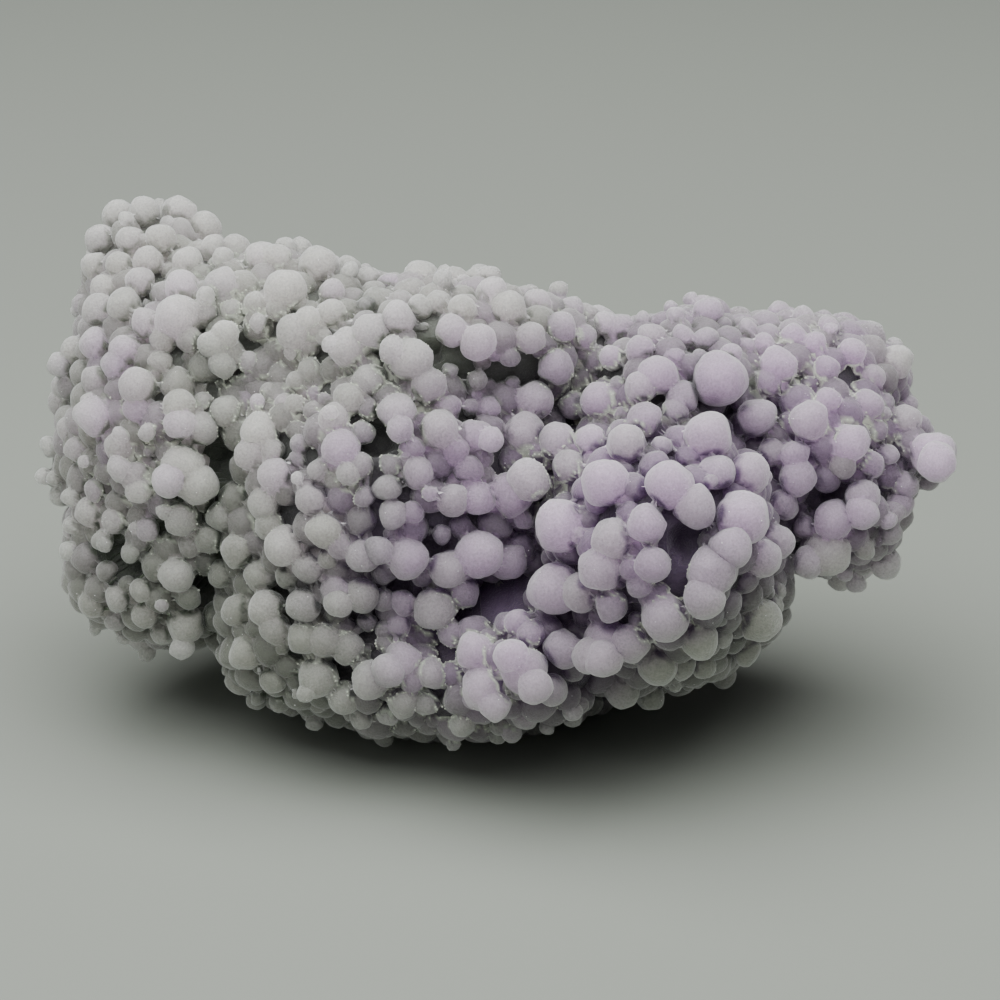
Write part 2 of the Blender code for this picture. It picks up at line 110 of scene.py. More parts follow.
# Spherules that the picture shows, by region: place and radius in pixels
pictureSpherules = {
    "left shoulder": [
        (118, 215, 16), (145, 212, 16), (180, 212, 17), (205, 228, 17), (100, 240, 15), (130, 240, 15),
        (160, 240, 16), (95, 265, 14), (120, 265, 14), (148, 262, 15), (188, 262, 15), (215, 250, 14),
        (235, 250, 16), (262, 258, 18), (222, 285, 18), (183, 288, 18), (140, 282, 16), (105, 290, 16),
        (100, 312, 17), (125, 305, 18), (146, 323, 16), (178, 318, 24), (205, 312, 16), (163, 340, 14),
        (190, 340, 14), (160, 362, 13), (187, 357, 6), (212, 345, 14), (228, 352, 17), (222, 365, 14),
        (225, 335, 15), (207, 297, 10), (232, 310, 11), (257, 305, 13), (95, 345, 16), (125, 350, 16),
        (75, 350, 14), (60, 365, 12), (115, 365, 14), (95, 380, 14),
    ],
    "crest, left": [
        (277, 257, 14), (318, 265, 20), (347, 268, 14), (368, 278, 12), (388, 283, 11), (420, 277, 17),
        (455, 280, 14), (475, 280, 12), (493, 288, 12), (285, 290, 21), (278, 310, 12), (332, 292, 14),
        (332, 313, 15), (367, 305, 9), (295, 333, 19), (308, 318, 13), (325, 338, 10), (330, 345, 9),
        (347, 348, 20), (373, 332, 20), (398, 320, 18), (420, 307, 13), (423, 328, 5), (438, 303, 13),
        (452, 330, 17), (478, 343, 18), (495, 355, 8), (462, 310, 14), (490, 297, 15), (393, 350, 14),
        (412, 360, 22), (428, 385, 18), (370, 380, 17), (290, 352, 8), (310, 350, 10), (310, 370, 12),
        (450, 372, 9), (477, 380, 11),
    ],
    "crest, right": [
        (508, 309, 18), (537, 303, 14), (571, 310, 13), (587, 315, 12), (560, 328, 16), (530, 338, 16),
        (605, 322, 12), (620, 328, 15), (585, 338, 12), (612, 358, 13), (555, 367, 18), (510, 357, 11),
        (512, 383, 8), (652, 337, 14), (640, 350, 15), (675, 358, 10), (683, 337, 13), (708, 313, 15),
        (688, 313, 8), (723, 325, 9), (705, 340, 14), (700, 357, 9), (658, 375, 20), (720, 379, 28),
        (778, 313, 13), (803, 317, 12), (828, 328, 13), (747, 331, 11), (765, 345, 13), (793, 338, 14),
        (815, 345, 13), (852, 352, 15), (895, 362, 18), (873, 377, 13), (742, 358, 7), (778, 366, 20),
        (768, 383, 14), (825, 370, 14),
    ],
    "left wing": [
        (138, 386, 19), (137, 408, 14), (62, 385, 12), (95, 417, 20), (68, 428, 12), (78, 449, 13),
        (50, 447, 10), (45, 475, 10), (120, 447, 16), (150, 451, 7), (160, 442, 7), (180, 406, 17),
        (180, 424, 17), (203, 428, 17), (204, 402, 10), (225, 412, 16), (221, 385, 6), (238, 383, 8),
        (250, 378, 9), (247, 402, 10), (260, 432, 20), (253, 455, 18), (272, 452, 14), (183, 466, 22),
        (168, 480, 17), (156, 467, 6), (198, 485, 20), (120, 468, 14), (135, 475, 15), (140, 490, 14),
        (275, 475, 18), (265, 503, 17), (62, 495, 12), (95, 490, 12), (90, 512, 15), (115, 522, 14),
        (103, 540, 12), (105, 545, 8), (148, 529, 13), (131, 553, 11), (165, 512, 9), (182, 518, 19),
        (221, 517, 15), (210, 538, 16), (190, 544, 13), (238, 549, 18), (270, 525, 14), (284, 546, 20),
    ],
    "middle": [
        (297, 382, 11), (313, 393, 8), (295, 405, 11), (312, 410, 9), (325, 401, 7), (330, 413, 7),
        (335, 420, 17), (350, 400, 16), (370, 408, 12), (398, 413, 20), (400, 428, 14), (363, 432, 12),
        (300, 445, 10), (298, 460, 9), (342, 450, 20), (348, 473, 12), (335, 482, 10), (360, 465, 14),
        (390, 465, 12), (418, 473, 16), (405, 457, 5), (387, 488, 14), (412, 512, 12), (393, 515, 15),
        (366, 497, 12), (392, 533, 9), (455, 451, 16), (481, 458, 12), (468, 470, 15), (452, 500, 17),
        (478, 498, 17), (474, 395, 8), (470, 408, 9), (490, 408, 11), (448, 408, 14), (440, 430, 20),
        (412, 448, 14), (475, 437, 18), (490, 440, 14), (320, 470, 14), (312, 500, 16), (325, 530, 18),
        (340, 545, 14), (533, 402, 20), (525, 432, 21), (557, 442, 20), (545, 450, 22), (573, 405, 15),
        (598, 400, 19), (590, 441, 17), (626, 444, 20), (605, 483, 24), (641, 388, 17), (645, 420, 18),
        (622, 416, 9), (618, 385, 9), (682, 397, 18), (675, 412, 14), (662, 446, 11), (708, 437, 25),
        (670, 485, 24), (695, 508, 22), (717, 473, 18), (512, 494, 23), (528, 480, 22), (560, 525, 27),
        (612, 539, 21), (647, 525, 20), (570, 468, 18), (653, 563, 19),
    ],
    "right wing": [
        (757, 417, 20), (810, 420, 20), (828, 402, 14), (867, 405, 16), (885, 403, 12), (877, 430, 12),
        (905, 420, 16), (932, 453, 22), (937, 462, 20), (850, 443, 20), (870, 465, 14), (843, 465, 14),
        (887, 455, 12), (905, 485, 15), (900, 505, 14), (893, 512, 12), (890, 532, 12), (862, 497, 17),
        (862, 513, 17), (833, 520, 20), (828, 552, 24), (808, 563, 16), (865, 548, 12), (885, 563, 16),
        (772, 453, 14), (795, 455, 16), (797, 478, 20), (748, 475, 22), (783, 505, 16), (805, 527, 12),
        (742, 518, 28), (777, 540, 18),
    ],
    "lower left": [
        (177, 574, 18), (188, 596, 13), (92, 603, 14), (117, 598, 13), (141, 590, 12), (145, 614, 14),
        (116, 621, 11), (182, 648, 13), (186, 625, 19), (164, 632, 13), (222, 574, 14), (260, 576, 16),
        (237, 610, 16), (266, 608, 19), (304, 605, 18), (275, 628, 16), (282, 645, 10), (304, 638, 17),
        (325, 640, 18), (348, 648, 17), (289, 577, 13), (308, 568, 16), (328, 558, 12), (338, 590, 16),
        (338, 604, 15), (361, 595, 18), (384, 600, 12), (246, 654, 17), (238, 682, 12), (258, 697, 9),
        (273, 680, 14), (280, 702, 10), (318, 677, 20), (306, 692, 9), (317, 704, 9), (344, 698, 17),
    ],
    "lower middle": [
        (364, 556, 18), (379, 551, 15), (408, 558, 21), (403, 603, 14), (435, 609, 22), (464, 592, 16),
        (449, 569, 20), (480, 554, 24), (507, 563, 18), (442, 534, 10), (384, 630, 10), (400, 625, 13),
        (368, 622, 10), (385, 645, 11), (370, 681, 20), (388, 670, 17), (402, 660, 19), (413, 681, 14),
        (432, 674, 15), (404, 701, 16), (426, 703, 13), (362, 716, 12), (388, 715, 11), (389, 729, 8),
        (475, 652, 19), (451, 634, 14), (518, 623, 14), (531, 634, 14), (511, 656, 17), (484, 688, 23),
        (495, 706, 16), (525, 670, 24), (551, 690, 16), (535, 687, 18), (563, 649, 20), (588, 655, 18),
        (463, 724, 14), (460, 742, 10), (500, 726, 12), (511, 732, 11), (524, 717, 13), (555, 589, 27),
        (580, 592, 20), (600, 569, 22), (611, 605, 17), (632, 567, 14),
    ],
    "lower right": [
        (731, 549, 21), (712, 571, 26), (704, 598, 21), (665, 618, 24), (607, 641, 23),
        (629, 643, 20), (603, 658, 20), (700, 640, 20), (658, 665, 20), (682, 665, 14), (687, 683, 8),
        (704, 665, 13), (622, 690, 18), (650, 697, 14), (574, 712, 14), (556, 716, 9), (590, 703, 13),
        (760, 620, 23), (746, 651, 15), (762, 558, 20), (722, 636, 11), (640, 585, 14),
        (765, 592, 9),
    ],
}

# How the spherules are seated, how points are moved onto the core, and how buds sit
growth = {
    "seed": 41,
    "seatLift": 0.75,
    "stackLift": 0.15,
    "rayNear": -26.0,
    "rayFar": 44.0,
    "rayStep": 0.2,
    "gapMargin": 0.4,
    "slopeStep": 0.05,
    "landingRounds": 9,
    "landingShare": 0.9,
    "landingTolerance": 0.1,
    "budShare": 0.30,
    "budSize": (0.38, 0.62),
    "budSpread": 0.7,
    "budLift": 0.3,
}

# Thrown spherules: tries, least and greatest radius, clearance from the others as a share of both
# radii, lift in radii, how squarely at most the ground may face the eye, and the radius that a deep
# gap is kept free to
fillPasses = {
    "tall ones of the other sides": (5000, 1.2, 1.65, 0.90, 0.75, -0.35, 9.0),
    "low ones all over": (14000, 0.95, 1.35, 0.64, 0.0, 1.0, 9.0),
    "small ones all over": (8000, 0.50, 0.85, 0.76, 0.0, 1.0, 1.5),
}

viewCosine = math.cos(math.radians(pictureView["tiltDegrees"]))
viewSine = math.sin(math.radians(pictureView["tiltDegrees"]))


# Length of each row: the root of its summed squares
def lengths(vectors):
    return np.sqrt((vectors ** 2).sum(axis=-1))


# A pixel at a depth: its offset from the picture's centre, spread by (distance + depth) / distance
def viewPoint(pixelX, pixelY, depth):
    spread = pictureView["mmPerPixel"] * (pictureView["distance"] + depth) / pictureView["distance"]
    centre = pictureView["centrePixel"]
    return np.array([(pixelX - centre) * spread, (centre - pixelY) * spread, depth])


# View frame to the level frame: a turn about the right axis by the tilt, then a lift
def toWorld(points):
    right, up, away = points[:, 0], points[:, 1], points[:, 2]
    return np.column_stack([
        right,
        away * viewCosine + up * viewSine,
        up * viewCosine - away * viewSine + pictureView["axisHeight"],
    ])


lobeCentres = np.array([viewPoint(*row[:3]) for row in massLobes.values()])
lobeHalves = np.array([row[3:] for row in massLobes.values()])


# Distance to the lobes: minus blend times the log of the summed exp(-distance / blend)
def lobeDistance(points):
    total = np.zeros(len(points))
    for centre, half in zip(lobeCentres, lobeHalves):
        scaled = (points - centre) / half
        reach = lengths(scaled)
        slope = lengths(scaled / half)
        distance = reach * (reach - 1.0) / np.maximum(slope, 1e-6)
        total += np.exp(-np.clip(distance, -30.0, 60.0) / lobeBlend)
    return -lobeBlend * np.log(total)


# Points along each pixel's line of sight: the pixel's offset times the spread at every depth
def rayPoints(pixelsX, pixelsY):
    depths = np.arange(growth["rayNear"], growth["rayFar"], growth["rayStep"])
    spread = pictureView["mmPerPixel"] * (pictureView["distance"] + depths) / pictureView["distance"]
    right = (np.asarray(pixelsX, float)[:, None] - pictureView["centrePixel"]) * spread
    up = (pictureView["centrePixel"] - np.asarray(pixelsY, float)[:, None]) * spread
    return np.stack([right, up, np.broadcast_to(depths, right.shape)], axis=-1)


# The first step with a level of zero or less, or else the step with the least level
def firstSeat(levels):
    inside = np.flatnonzero(levels <= 0.0)
    return int(inside[0]) if len(inside) else int(np.argmin(levels))


# Deep gaps as balls, each centred where its line of sight meets the lobes
def gapBalls():
    rows = np.array(list(deepGaps.values()))
    rays = rayPoints(rows[:, 0], rows[:, 1])
    levels = lobeDistance(rays.reshape(-1, 3)).reshape(rays.shape[:2])
    centres = np.array([ray[firstSeat(level)] for ray, level in zip(rays, levels)])
    return centres, rows[:, 2]


gapCentres, gapRadii = gapBalls()


# Distance to the core: the greater of the lobes' distance and how deep a point lies in a gap
def coreDistance(points):
    distance = lobeDistance(points)
    for centre, radius in zip(gapCentres, gapRadii):
        distance = np.maximum(distance, radius - lengths(points - centre))
    return distance


# Outward direction: the difference of the distance a small step to both sides, at unit length
def outward(points):
    step = growth["slopeStep"]
    slope = np.column_stack([
        coreDistance(points + step * axis) - coreDistance(points - step * axis)
        for axis in np.eye(3)
    ])
    return slope / np.maximum(lengths(slope), 1e-9)[:, None]


# Seat each pictured spherule where its line of sight first comes within the lift of the core, or
# within the lesser lift of a spherule that stands on the core
def seatPictured():
    rows = np.array([row for group in pictureSpherules.values() for row in group], float)
    rows = rows[np.argsort(-rows[:, 2], kind="stable")]
    rays = rayPoints(rows[:, 0], rows[:, 1])
    core = coreDistance(rays.reshape(-1, 3)).reshape(rays.shape[:2])
    centres = np.zeros((len(rows), 3))
    radii = np.zeros(len(rows))
    ground = np.zeros(len(rows), bool)
    for index, (ray, level) in enumerate(zip(rays, core)):
        radius = rows[index, 2] * pictureView["mmPerPixel"]
        seat = firstSeat(level - growth["seatLift"] * radius)
        if ground.any():
            apart = lengths(ray[:, None, :] - centres[None, ground]) - radii[ground]
            onOthers = firstSeat(np.minimum(
                level - growth["seatLift"] * radius,
                apart.min(axis=1) - growth["stackLift"] * radius,
            ))
            ground[index] = onOthers == seat
            seat = onOthers
        else:
            ground[index] = True
        centres[index] = ray[seat]
        radii[index] = radius * (pictureView["distance"] + ray[seat, 2]) / pictureView["distance"]
    return centres, radii


# Random points of the lobes' box, each moved against its distance, round by round, onto the core
def surfacePoints(count, random):
    low = (lobeCentres - lobeHalves).min(axis=0)
    high = (lobeCentres + lobeHalves).max(axis=0)
    points = low + (high - low) * random.random((count, 3))
    for _ in range(growth["landingRounds"]):
        points = points - coreDistance(points)[:, None] * outward(points) * growth["landingShare"]
    return points[np.abs(coreDistance(points)) < growth["landingTolerance"]]


# Thrown spherules: one stays where its centre lies farther from all the others than the clearance
def throwSpherules(centres, radii, random):
    count = len(radii)
    room = count + sum(row[0] for row in fillPasses.values())
    allCentres, allRadii = np.zeros((room, 3)), np.zeros(room)
    allCentres[:count], allRadii[:count] = centres, radii
    for tries, least, greatest, clearance, lift, facingLimit, gapLimit in fillPasses.values():
        points = surfacePoints(tries, random)
        normals = outward(points)
        sizes = least + (greatest - least) * random.random(len(points))
        usable = -normals[:, 2] < facingLimit
        for point, normal, radius in zip(points[usable], normals[usable], sizes[usable]):
            centre = point + normal * lift * radius
            reach = clearance * (allRadii[:count] + radius)
            free = (lengths(allCentres[:count] - centre) > reach).all()
            fromGaps = lengths(gapCentres - point) - np.minimum(gapRadii, gapLimit)
            outsideGaps = (fromGaps > growth["gapMargin"] * radius).all()
            if free and outsideGaps:
                allCentres[count], allRadii[count] = centre, radius
                count += 1
    return allCentres[:count], allRadii[:count]


# Buds on a share of the thrown spherules, leaning from the outward direction by a random amount
def addBuds(centres, radii, first, random):
    parents = np.flatnonzero(random.random(len(radii)) < growth["budShare"])
    parents = parents[(parents >= first) & (radii[parents] > 1.0)]
    normals = outward(centres[parents])
    lean = normals + growth["budSpread"] * random.normal(size=normals.shape)
    lean /= lengths(lean)[:, None]
    least, greatest = growth["budSize"]
    sizes = radii[parents] * (least + (greatest - least) * random.random(len(parents)))
    places = centres[parents] + lean * (radii[parents] + growth["budLift"] * sizes)[:, None]
    return np.vstack([centres, places]), np.concatenate([radii, sizes])


# Triangles of a closed grid: fans at both poles, and two triangles for each cell between
def closedGridFaces(around, rings):
    start = 1 + np.arange(rings - 1)[:, None] * around + np.arange(around)
    turned = np.roll(start, -1, axis=1)
    lower = np.stack([start, start + around, turned], axis=-1)
    upper = np.stack([turned, start + around, turned + around], axis=-1)
    ring = np.arange(around)
    nextOne = (ring + 1) % around
    last = 1 + (rings - 1) * around
    top = np.column_stack([np.zeros(around, int), 1 + ring, 1 + nextOne])
    bottom = np.column_stack([np.full(around, 1 + rings * around), last + nextOne, last + ring])
    return np.vstack([top, lower.reshape(-1, 3), upper.reshape(-1, 3), bottom])


# A unit ball on a grid of two angles: sines and cosines of the way round and the way down
def unitBall(around, rings):
    down = np.pi * (np.arange(rings) + 1) / (rings + 1)
    turn = 2 * np.pi * np.arange(around) / around
    ring = np.stack([
        np.sin(down)[:, None] * np.cos(turn),
        np.sin(down)[:, None] * np.sin(turn),
        np.broadcast_to(np.cos(down)[:, None], (rings, around)),
    ], axis=-1).reshape(-1, 3)
    return np.vstack([[[0, 0, 1]], ring, [[0, 0, -1]]])


# A mesh from arrays of corners and triangles
def arrayMesh(name, corners, triangles):
    mesh = bpy.data.meshes.new(name)
    mesh.vertices.add(len(corners))
    mesh.vertices.foreach_set("co", np.asarray(corners, np.float32).ravel())
    mesh.loops.add(triangles.size)
    mesh.loops.foreach_set("vertex_index", triangles.astype(np.int32).ravel())
    mesh.polygons.add(len(triangles))
    mesh.polygons.foreach_set("loop_start", np.arange(0, triangles.size, 3, dtype=np.int32))
    mesh.update(calc_edges=True)
    mesh.validate()
    return mesh


# Many copies of one closed shape: each copy's corners by its own scale and place
def copiedCorners(unit, faces, centres, radii):
    corners = (unit[None] * radii[:, None, None] + centres[:, None]).reshape(-1, 3)
    triangles = faces[None] + (np.arange(len(radii)) * len(unit))[:, None, None]
    return corners, triangles.reshape(-1, 3)


# The core's skin starts as a ball's grid outside the lobes, and its lines end on the long axis;
# both are given as shares of the lobes' half sizes
coreLook = {
    "grid": (200, 110),
    "depth": 0.4,
    "groundGrid": (340, 190),
    "spineShare": 0.7,
    "startShare": 1.3,
    "lineSteps": 120,
}


# The core's skin: each corner of the grid drawn in along its line to the first seat at the given
# depth under the core's surface, placed between two steps by the levels there
def coreSkin(around, rings, depth):
    unit = unitBall(around, rings)[:, [2, 0, 1]]
    low = (lobeCentres - lobeHalves).min(axis=0)
    high = (lobeCentres + lobeHalves).max(axis=0)
    middle, half = (low + high) / 2, (high - low) / 2
    alongSpine = unit[:, 0] * half[0] * coreLook["spineShare"]
    spine = middle + np.column_stack([alongSpine, np.zeros((len(unit), 2))])
    start = middle + unit * half * coreLook["startShare"]
    shares = np.linspace(0.0, 1.0, coreLook["lineSteps"])
    lines = start[:, None] + (spine - start)[:, None] * shares[None, :, None]
    levels = np.array([coreDistance(line) for line in lines.transpose(1, 0, 2)]).T + depth
    seats = np.array([firstSeat(level) for level in levels])
    before = np.maximum(seats - 1, 0)
    each = np.arange(len(seats))
    fall = levels[each, before] - levels[each, seats]
    share = np.clip(levels[each, before] / np.maximum(fall, 1e-6), 0.0, 1.0)
    points = lines[each, before] + (lines[each, seats] - lines[each, before]) * share[:, None]
    return points, closedGridFaces(around, rings)


# Labels of joined corners: each edge passes on its lower label until none changes
def islandLabels(count, edges):
    labels = np.arange(count)
    while True:
        least = np.minimum(labels[edges[:, 0]], labels[edges[:, 1]])
        fresh = labels.copy()
        np.minimum.at(fresh, edges[:, 0], least)
        np.minimum.at(fresh, edges[:, 1], least)
        fresh = fresh[fresh]
        if (fresh == labels).all():
            return labels
        labels = fresh


# The skin: how it is fused, how it is drawn onto the spherules, and how it is made uneven
skinLook = {
    "slabs": 5,
    "ballGrid": (16, 9),
    "voxel": 0.26,
    "cell": 2.5,
    "drawRounds": 5,
    "drawShare": 0.9,
    "reach": 0.5,
    "overlap": 0.05,
    "creaseReach": 0.15,
    "creaseBlend": 0.3,
    "creaseRoom": 0.15,
    "creaseDegrees": 38.0,
    "leastHeight": 0.02,
    "warp": 0.06,
    "warpLength": 2.3,
    "warpSeed": 7,
    "grain": 0.018,
    "grainLength": 0.9,
    "grainWaves": 24,
    "waveSpread": (0.7, 1.4),
    "tintSeed": 11,
    "tintReach": 1.0,
    # Standing given to the ground, low enough that the material paints it wholly in the gaps' painted
    # shade
    "groundStanding": -1.0,
}


# The spherules of a slab, joined by the slab's share of a core that lies a little under the ground,
# fused by a voxel remesh, of which only the outer skin is kept
def fusedSkin(centres, radii, core, coreFaces, slab):
    ballGrid = skinLook["ballGrid"]
    balls, ballFaces = copiedCorners(unitBall(*ballGrid), closedGridFaces(*ballGrid), centres, radii)
    core = core.copy()
    core[:, 0] = np.clip(core[:, 0], *slab)
    corners = np.vstack([balls, core])
    triangles = np.vstack([ballFaces, coreFaces + len(balls)])
    holder = bpy.data.objects.new("holder", arrayMesh("holder", corners * mm, triangles))
    bpy.context.collection.objects.link(holder)
    remesh = holder.modifiers.new("fuse", "REMESH")
    remesh.mode = "VOXEL"
    remesh.voxel_size = skinLook["voxel"] * mm
    graph = bpy.context.evaluated_depsgraph_get()
    fused = bpy.data.meshes.new_from_object(holder.evaluated_get(graph))
    bpy.data.objects.remove(holder, do_unlink=True)
    points = np.zeros(len(fused.vertices) * 3, np.float32)
    fused.vertices.foreach_get("co", points)
    points = points.reshape(-1, 3).astype(float) / mm
    edges = np.zeros(len(fused.edges) * 2, np.int32)
    fused.edges.foreach_get("vertices", edges)
    labels = islandLabels(len(points), edges.reshape(-1, 2))
    fused.calc_loop_triangles()
    faces = np.zeros(len(fused.loop_triangles) * 3, np.int32)
    fused.loop_triangles.foreach_get("vertices", faces)
    faces = faces.reshape(-1, 3)
    kept = labels == np.bincount(labels).argmax()
    renumbered = np.cumsum(kept) - 1
    return points[kept], renumbered[faces[kept[faces[:, 0]]]]


# Points in groups by the cube of space they lie in
def cellGroups(points, size):
    cells = np.floor(points / size).astype(int)
    inverse = np.unique(cells, axis=0, return_inverse=True)[1].ravel()
    order = np.argsort(inverse, kind="stable")
    return np.split(order, np.flatnonzero(np.diff(inverse[order])) + 1)


# For points in groups: the two spherules whose surfaces lie nearest, and how far off they are;
# points out of reach of any keep the reach itself
def nearestSpherules(points, centres, radii, reach):
    distances = np.full((len(points), 2), float(reach))
    indices = np.zeros((len(points), 2), int)
    for group in cellGroups(points, skinLook["cell"]):
        block = points[group]
        middle = block.mean(axis=0)
        span = lengths(block - middle).max() + reach
        close = np.flatnonzero(lengths(centres - middle) - radii < span)
        if len(close) < 2:
            continue
        apart = lengths(block[:, None] - centres[None, close]) - radii[close]
        least = np.argpartition(apart, 1, axis=1)[:, :2]
        found = np.take_along_axis(apart, least, axis=1)
        turn = np.argsort(found, axis=1)
        distances[group] = np.take_along_axis(found, turn, axis=1)
        indices[group] = close[np.take_along_axis(least, turn, axis=1)]
    return distances, indices


# Draw the skin onto the spherules: onto the nearest one, or where two are about as near, onto the
# crease between them, by the least move that brings both distances to zero
def drawOntoSpherules(points, centres, radii):
    for _ in range(skinLook["drawRounds"]):
        distances, indices = nearestSpherules(points, centres, radii, skinLook["reach"])
        offsets = points[:, None] - centres[indices]
        slopes = offsets / np.maximum(lengths(offsets), 1e-6)[:, :, None]
        gap = distances[:, 1] - distances[:, 0]
        blend = skinLook["creaseBlend"] * skinLook["creaseReach"]
        pair = np.clip((skinLook["creaseReach"] - gap) / blend, 0.0, 1.0)
        agree = (slopes[:, 0] * slopes[:, 1]).sum(axis=1)
        room = np.maximum(1.0 - agree ** 2, skinLook["creaseRoom"])
        firstShare = (distances[:, 0] - agree * distances[:, 1]) / room
        secondShare = (distances[:, 1] - agree * distances[:, 0]) / room
        both = firstShare[:, None] * slopes[:, 0] + secondShare[:, None] * slopes[:, 1]
        single = distances[:, :1] * slopes[:, 0]
        moves = single + pair[:, None] * (both - single)
        shorter = np.minimum(1.0, skinLook["reach"] / np.maximum(lengths(moves), 1e-6))
        moves *= shorter[:, None] * skinLook["drawShare"]
        near = np.abs(distances[:, 0]) < skinLook["reach"]
        near &= coreDistance(points) + coreLook["depth"] > distances[:, 0] - skinLook["overlap"]
        points = points - moves * near[:, None]
    return points


# Smooth noise as a sum of sine waves: random directions, lengths near the given one, divided by
# the root of half their count
def waves(points, length, random, count=14):
    total = np.zeros(len(points))
    for _ in range(count):
        direction = random.normal(size=3)
        size = np.sqrt((direction ** 2).sum())
        direction *= 2 * np.pi / (length * random.uniform(*skinLook["waveSpread"]) * size)
        total += np.sin(points @ direction + random.uniform(0, 2 * np.pi))
    return total / math.sqrt(count / 2)


# Steps along the normal at which a corner's openness is read, each with its weight, and the most
# that one step may count as closed
opennessSteps = ((0.5, 0.30), (1.1, 0.36), (2.2, 0.34))
mostClosed = 1.6


# How open each corner lies: one less the weighted shares by which the distance field, read at
# the steps, falls short of the step. The material paints shade into the corners that lie less open
def opennessOf(points, normals, centres, radii):
    closed = np.zeros(len(points))
    for step, weight in opennessSteps:
        ahead = points + normals * step
        values = nearestSpherules(ahead, centres, radii, step)[0][:, 0]
        values = np.minimum(values, coreDistance(ahead))
        closed += weight * np.clip(1.0 - values / step, 0.0, mostClosed)
    return np.clip(1.0 - closed, 0.0, 1.0)


# Corner normals: the summed cross products of the triangles round each corner, at unit length
def cornerNormals(points, faces):
    a, b, c = points[faces[:, 0]], points[faces[:, 1]], points[faces[:, 2]]
    cross = np.cross(b - a, c - a)
    normals = np.zeros_like(points)
    for column in range(3):
        for axis in range(3):
            normals[:, axis] += np.bincount(faces[:, column], cross[:, axis], len(points))
    return normals / np.maximum(lengths(normals), 1e-12)[:, None]


# Colour zones in the picture plane: soft round patches, (place x, place y, radius, strength)
colourPatches = {
    "lavender": [
        (620, 520, 190, 1.0), (500, 470, 120, 0.75), (800, 440, 120, 1.0), (915, 450, 60, 1.1),
        (440, 620, 90, 0.7), (700, 440, 120, 1.0), (340, 450, 70, 0.35), (700, 345, 70, 0.45),
        (130, 390, 50, 0.35), (110, 330, 60, 0.35), (120, 450, 50, 0.3), (540, 660, 110, 0.6),
    ],
    # Where the painted shade of the gaps turns violet
    "violetGapShade": [
        (490, 630, 120, 1.0), (690, 520, 110, 0.9), (820, 440, 110, 1.1), (420, 560, 80, 0.6),
        (560, 450, 90, 0.6), (340, 520, 60, 0.5), (300, 385, 50, 0.4), (600, 600, 90, 0.6),
    ],
    # Where the painted shade of the gaps is paler, towards the upper left
    "paleGapShade": [
        (170, 250, 100, 1.0), (300, 310, 80, 0.7), (430, 290, 80, 0.7), (90, 400, 70, 0.6),
        (760, 330, 60, 0.5), (560, 320, 50, 0.5), (200, 380, 60, 0.4),
    ],
    # The stone's own grey-green tone, partly painted shade towards the bottom
    "greenGrey": [
        (330, 710, 90, 0.7), (640, 710, 80, 0.6), (740, 660, 60, 0.5), (230, 650, 80, 0.7),
        (530, 745, 70, 0.5), (220, 560, 60, 0.4), (80, 610, 60, 0.6), (320, 610, 50, 0.2),
        (775, 605, 50, 0.8), (700, 690, 60, 0.8),
    ],
}


# Strength of some patches at each corner: the summed strength times exp(-(distance / radius) squared)
def patchStrength(points, patches):
    scale = pictureView["distance"] / (pictureView["distance"] + points[:, 2])
    scale = scale / pictureView["mmPerPixel"]
    x = pictureView["centrePixel"] + points[:, 0] * scale
    y = pictureView["centrePixel"] - points[:, 1] * scale
    total = np.zeros(len(points))
    for placeX, placeY, radius, strength in patches:
        total += strength * np.exp(-((x - placeX) ** 2 + (y - placeY) ** 2) / radius ** 2)
    return np.clip(total, 0.0, 1.0)


# Where the drusy crust lies thick, as soft round patches like the colour zones
crustPatches = [
    (245, 295, 45, 1.0), (265, 370, 55, 1.1), (390, 375, 45, 1.0), (620, 400, 40, 0.9),
    (455, 700, 60, 1.1), (815, 375, 50, 0.9), (300, 400, 40, 0.9), (370, 470, 40, 0.7),
    (330, 660, 45, 0.6), (560, 350, 45, 0.7), (130, 450, 60, 0.6), (480, 640, 45, 0.8),
    (860, 430, 40, 0.7), (660, 600, 45, 0.6), (550, 460, 40, 0.6), (200, 540, 60, 0.5),
]


# The crust: the noise that clumps it, the openness where it is thickest, and its strength
crustLook = {
    "seed": 5,
    "clumpLength": 2.4,
    "clumpWaves": 20,
    "openness": 0.22,
    "opennessSpread": 0.16,
    "everywhere": 0.25,
    "steady": 1.9,
    "clumped": 0.7,
    "least": 0.55,
}


# Strength of the crust: the patches and a little everywhere, times a bell curve of the openness,
# times a slow noise that clumps it, less the least that shows
def crustStrength(points, openness):
    crustRandom = np.random.default_rng(crustLook["seed"])
    clumps = waves(points, crustLook["clumpLength"], crustRandom, crustLook["clumpWaves"])
    halfOpen = np.exp(-((openness - crustLook["openness"]) / crustLook["opennessSpread"]) ** 2)
    thick = crustLook["everywhere"] + patchStrength(points, crustPatches)
    clumped = crustLook["steady"] + crustLook["clumped"] * clumps
    return np.clip(thick * halfOpen * clumped - crustLook["least"], 0.0, 1.0)


# Write one number per corner as a named attribute
def setAttribute(mesh, name, values):
    attribute = mesh.attributes.new(name, "FLOAT", "POINT")
    attribute.data.foreach_set("value", np.asarray(values, np.float32))


# The level frame's places, with what would lie under the table raised to just above it
def settled(points):
    world = toWorld(points)
    world[:, 2] = np.maximum(world[:, 2], skinLook["leastHeight"])
    return world


random = np.random.default_rng(growth["seed"])
centres, radii = seatPictured()
pictured = len(radii)
centres, radii = throwSpherules(centres, radii, random)
centres, radii = addBuds(centres, radii, pictured, random)
aboveTable = toWorld(centres)[:, 2] > 0.0
centres, radii = centres[aboveTable], radii[aboveTable]
print("spherules seated:", len(radii))

